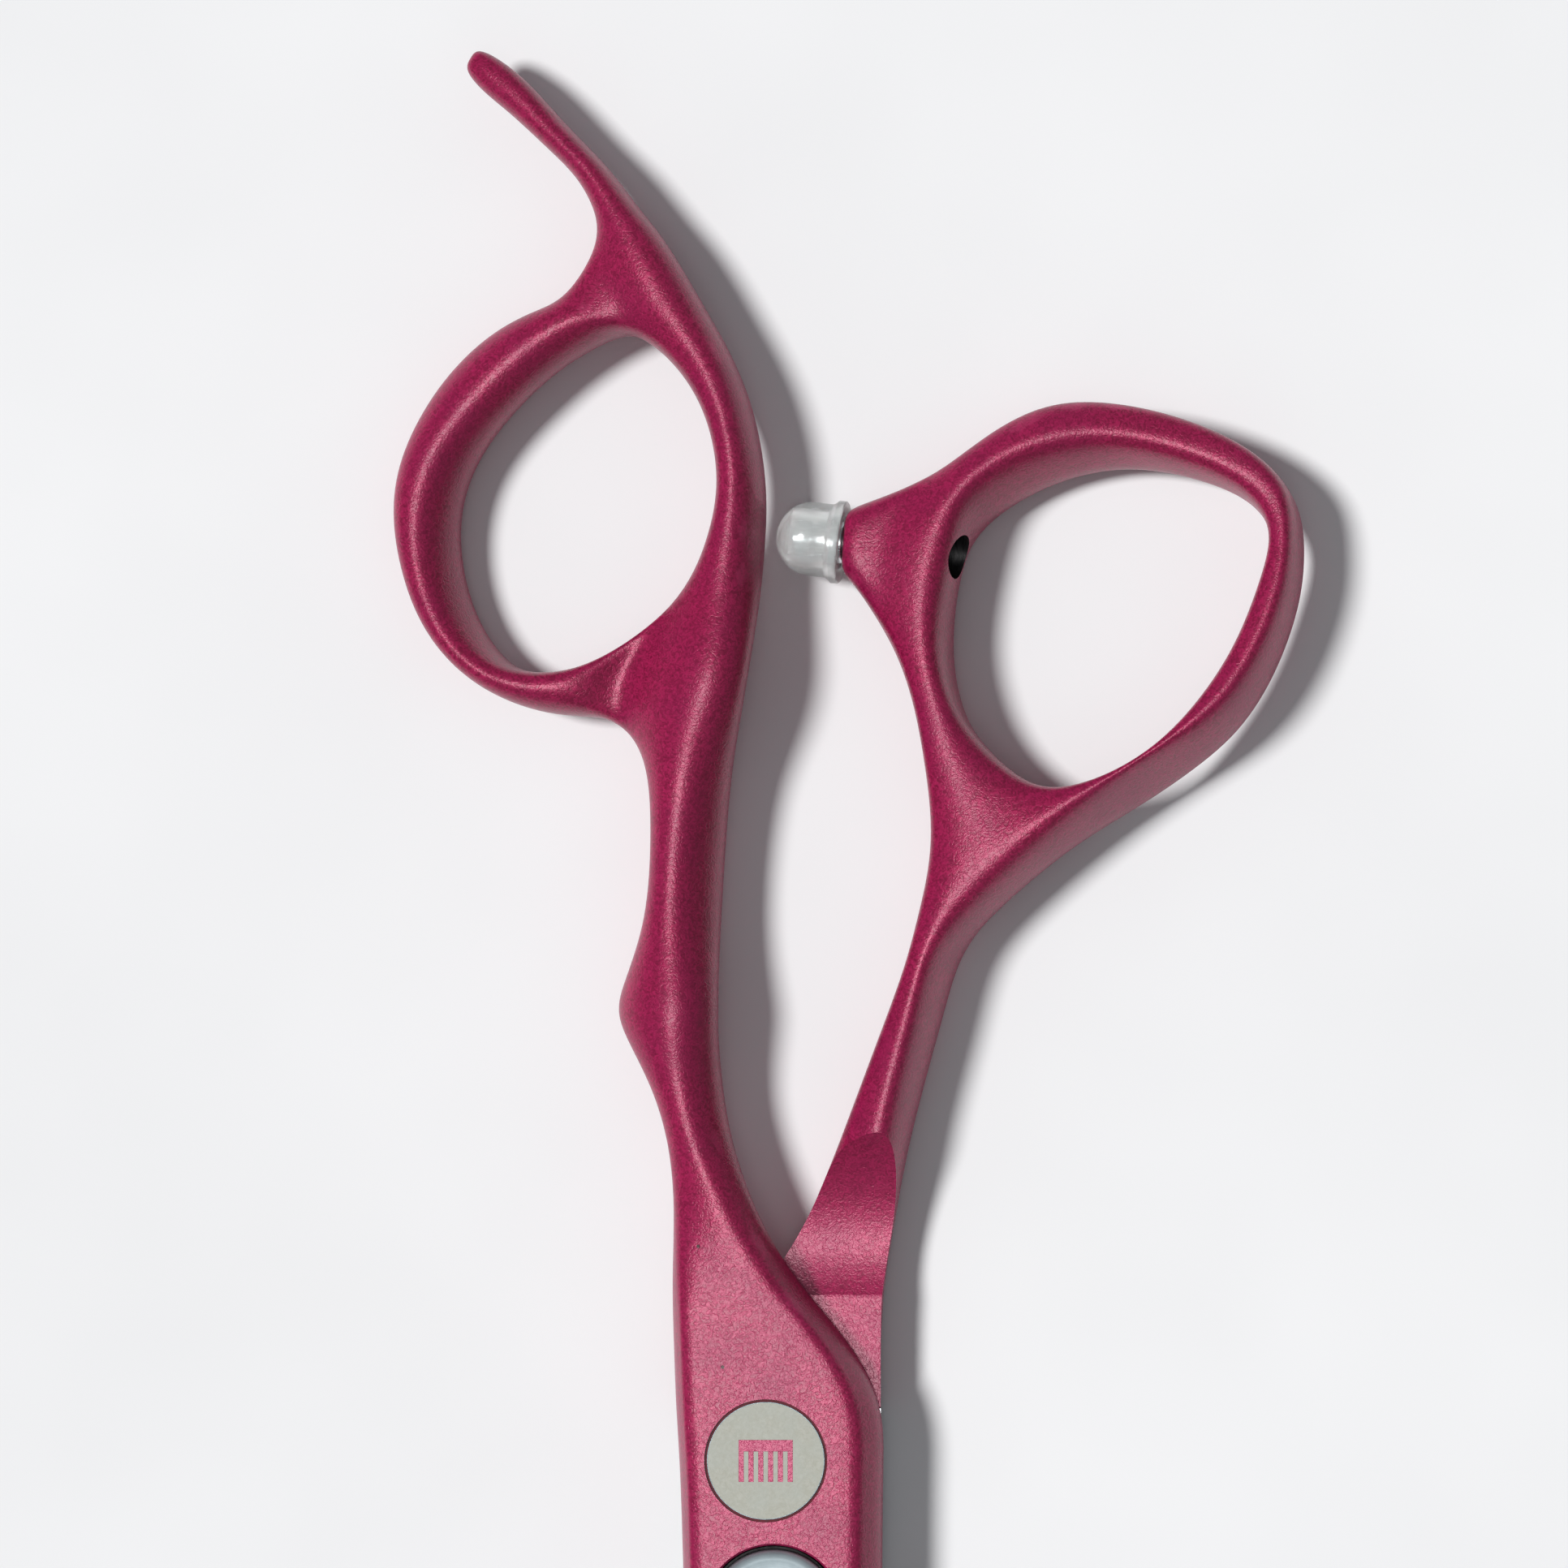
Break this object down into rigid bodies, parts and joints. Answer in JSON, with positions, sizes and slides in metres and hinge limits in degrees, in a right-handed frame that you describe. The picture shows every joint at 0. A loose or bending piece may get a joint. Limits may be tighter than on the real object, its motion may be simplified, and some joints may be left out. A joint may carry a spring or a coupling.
{
  "type": "hair cutting shears",
  "caption": "Offset hair cutting shears with painted ring handles, finger rest, straight steel blades, tension dial and silicone stop between the rings.",
  "frame": {"origin": "on the pivot axis, at the flat back face of the pivot bolt, shears closed", "axes": "+Y along the shears from the pivot towards the handles, blades towards -Y; +Z along the pivot axis from the bolt's back face towards the tension dial; +X towards the thumb ring"},
  "size_m": [0.0591, 0.1691, 0.008],
  "materials": {
    "handle_paint": "metallic magenta enamel with a fine wrinkle, satin gloss",
    "blade_steel": "polished steel with fine grinding lines",
    "pivot_steel": "satin bright steel",
    "bush_bronze": "bearing bronze",
    "black_nylon": "moulded black nylon",
    "clear_silicone": "clear glossy silicone"
  },
  "bodies": {
    "upper_half": {"finger_handle": "handle_paint", "finger_blade": "blade_steel", "pivot_bush": "bush_bronze", "click_ring": "black_nylon", "spring_washer": "blade_steel"},
    "lower_half": {"thumb_handle": "handle_paint", "thumb_blade": "blade_steel", "pivot_bolt": "pivot_steel", "bumper": "clear_silicone", "bumper_stud": "pivot_steel"},
    "dial": {"tension_dial": "pivot_steel"}
  },
  "joints": [
    {"name": "pivot", "type": "hinge", "parent": "upper_half", "child": "lower_half", "pos_m": [0, 0, 0.00365], "axis": [0, 0, -1], "range_deg": [-0.5, 70]},
    {"name": "tension", "type": "hinge", "parent": "lower_half", "child": "dial", "pos_m": [0, 0, 0.0069], "axis": [0, 0, 1], "range_deg": [-90, 90]}
  ]
}
